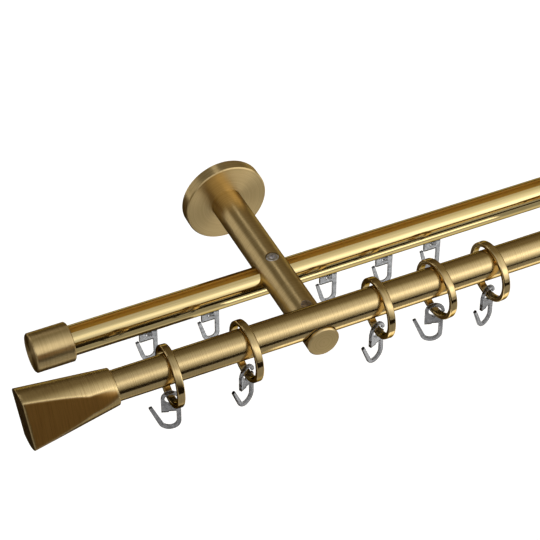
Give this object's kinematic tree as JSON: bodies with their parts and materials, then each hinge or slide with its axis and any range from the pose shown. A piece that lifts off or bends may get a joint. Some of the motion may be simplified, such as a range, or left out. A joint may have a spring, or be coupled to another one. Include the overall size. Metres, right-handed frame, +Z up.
{
  "type": "double curtain pole",
  "caption": "Double curtain pole on a round wall bracket, with a ringed tube in front, a grooved rail with gliders behind, flared finials, end caps and clear hooks.",
  "frame": {"origin": "centre of the wall disc's back face, on the wall", "axes": "+X along the poles to the viewer's right, +Y into the wall, +Z up"},
  "size_m": [0.4594, 0.1647, 0.0744],
  "materials": {
    "satin_brass": "satin, brushed",
    "polished_brass": "polished",
    "zinc": "zinc plated",
    "clear_plastic": "clear, glossy",
    "grey_plastic": "cloudy, translucent"
  },
  "bodies": {
    "frame": {"front_pole": "satin_brass", "rear_rail": "polished_brass", "wall_disc": "satin_brass", "bracket_arm": "satin_brass", "rail_screw": "zinc", "slot_nut": "zinc", "saddle_liner": "clear_plastic", "pole_screw": "zinc", "finial_left": "satin_brass", "finial_right": "satin_brass", "finial_screw_left": "zinc", "finial_screw_right": "zinc", "end_cap_left": "satin_brass", "end_cap_right": "satin_brass", "cap_screw_left": "zinc", "cap_screw_right": "zinc"},
    "ring_1": {"ring_1": "satin_brass"},
    "ring_hook_1": {"ring_hook_1": "clear_plastic"},
    "ring_2": {"ring_2": "satin_brass"},
    "ring_hook_2": {"ring_hook_2": "clear_plastic"},
    "ring_3": {"ring_3": "satin_brass"},
    "ring_hook_3": {"ring_hook_3": "clear_plastic"},
    "ring_4": {"ring_4": "satin_brass"},
    "ring_hook_4": {"ring_hook_4": "clear_plastic"},
    "ring_5": {"ring_5": "satin_brass"},
    "ring_hook_5": {"ring_hook_5": "clear_plastic"},
    "glider_1": {"glider_1": "grey_plastic"},
    "glider_hook_1": {"glider_hook_1": "grey_plastic"},
    "glider_2": {"glider_2": "grey_plastic"},
    "glider_hook_2": {"glider_hook_2": "grey_plastic"},
    "glider_3": {"glider_3": "grey_plastic"},
    "glider_hook_3": {"glider_hook_3": "grey_plastic"},
    "glider_4": {"glider_4": "grey_plastic"},
    "glider_hook_4": {"glider_hook_4": "grey_plastic"},
    "glider_5": {"glider_5": "grey_plastic"},
    "glider_hook_5": {"glider_hook_5": "grey_plastic"}
  },
  "joints": [
    {"name": "ring_1_slide", "type": "slide", "parent": "frame", "child": "ring_1", "axis": [1, 0, 0], "range_m": [-0.0315, 0.012]},
    {"name": "ring_hook_1_swing", "type": "hinge", "parent": "ring_1", "child": "ring_hook_1", "pos_m": [-0.0986, -0.1442, -0.01879], "axis": [0.342, 0.9397, 0], "range_deg": [-15, 15]},
    {"name": "ring_2_slide", "type": "slide", "parent": "frame", "child": "ring_2", "axis": [1, 0, 0], "range_m": [-0.012, 0.0315]},
    {"name": "ring_hook_2_swing", "type": "hinge", "parent": "ring_2", "child": "ring_hook_2", "pos_m": [-0.0473, -0.1442, -0.01843], "axis": [-0.4384, 0.8988, 0], "range_deg": [-15, 15]},
    {"name": "ring_3_slide", "type": "slide", "parent": "frame", "child": "ring_3", "axis": [1, 0, 0], "range_m": [-0.0285, 0.0075]},
    {"name": "ring_hook_3_swing", "type": "hinge", "parent": "ring_3", "child": "ring_hook_3", "pos_m": [0.0443, -0.1442, -0.01861], "axis": [-0.3584, 0.9336, 0], "range_deg": [-15, 15]},
    {"name": "ring_4_slide", "type": "slide", "parent": "frame", "child": "ring_4", "axis": [1, 0, 0], "range_m": [-0.0075, 0.006]},
    {"name": "ring_hook_4_swing", "type": "hinge", "parent": "ring_4", "child": "ring_hook_4", "pos_m": [0.0863, -0.1442, -0.01838], "axis": [0.342, 0.9397, 0], "range_deg": [-15, 15]},
    {"name": "ring_5_slide", "type": "slide", "parent": "frame", "child": "ring_5", "axis": [1, 0, 0], "range_m": [-0.006, 0.0755]},
    {"name": "ring_hook_5_swing", "type": "hinge", "parent": "ring_5", "child": "ring_hook_5", "pos_m": [0.1254, -0.1442, -0.01866], "axis": [-0.4067, 0.9135, 0], "range_deg": [-15, 15]},
    {"name": "glider_1_slide", "type": "slide", "parent": "frame", "child": "glider_1", "axis": [1, 0, 0], "range_m": [-0.046, 0.008]},
    {"name": "glider_hook_1_swing", "type": "hinge", "parent": "glider_1", "child": "glider_hook_1", "pos_m": [-0.0876, -0.0812, -0.02327], "axis": [0, 1, 0], "range_deg": [-15, 15]},
    {"name": "glider_2_slide", "type": "slide", "parent": "frame", "child": "glider_2", "axis": [1, 0, 0], "range_m": [-0.008, 0.029]},
    {"name": "glider_hook_2_swing", "type": "hinge", "parent": "glider_2", "child": "glider_hook_2", "pos_m": [-0.0442, -0.0812, -0.02327], "axis": [0, 1, 0], "range_deg": [-15, 15]},
    {"name": "glider_3_slide", "type": "slide", "parent": "frame", "child": "glider_3", "axis": [1, 0, 0], "range_m": [-0.029, 0.0075]},
    {"name": "glider_hook_3_swing", "type": "hinge", "parent": "glider_3", "child": "glider_hook_3", "pos_m": [0.0409, -0.0812, -0.02327], "axis": [0, 1, 0], "range_deg": [-15, 15]},
    {"name": "glider_4_slide", "type": "slide", "parent": "frame", "child": "glider_4", "axis": [1, 0, 0], "range_m": [-0.0075, 0.0045]},
    {"name": "glider_hook_4_swing", "type": "hinge", "parent": "glider_4", "child": "glider_hook_4", "pos_m": [0.0825, -0.0812, -0.02327], "axis": [0, 1, 0], "range_deg": [-15, 15]},
    {"name": "glider_5_slide", "type": "slide", "parent": "frame", "child": "glider_5", "axis": [1, 0, 0], "range_m": [-0.0045, 0.0855]},
    {"name": "glider_hook_5_swing", "type": "hinge", "parent": "glider_5", "child": "glider_hook_5", "pos_m": [0.1188, -0.0812, -0.02327], "axis": [0, 1, 0], "range_deg": [-15, 15]}
  ]
}
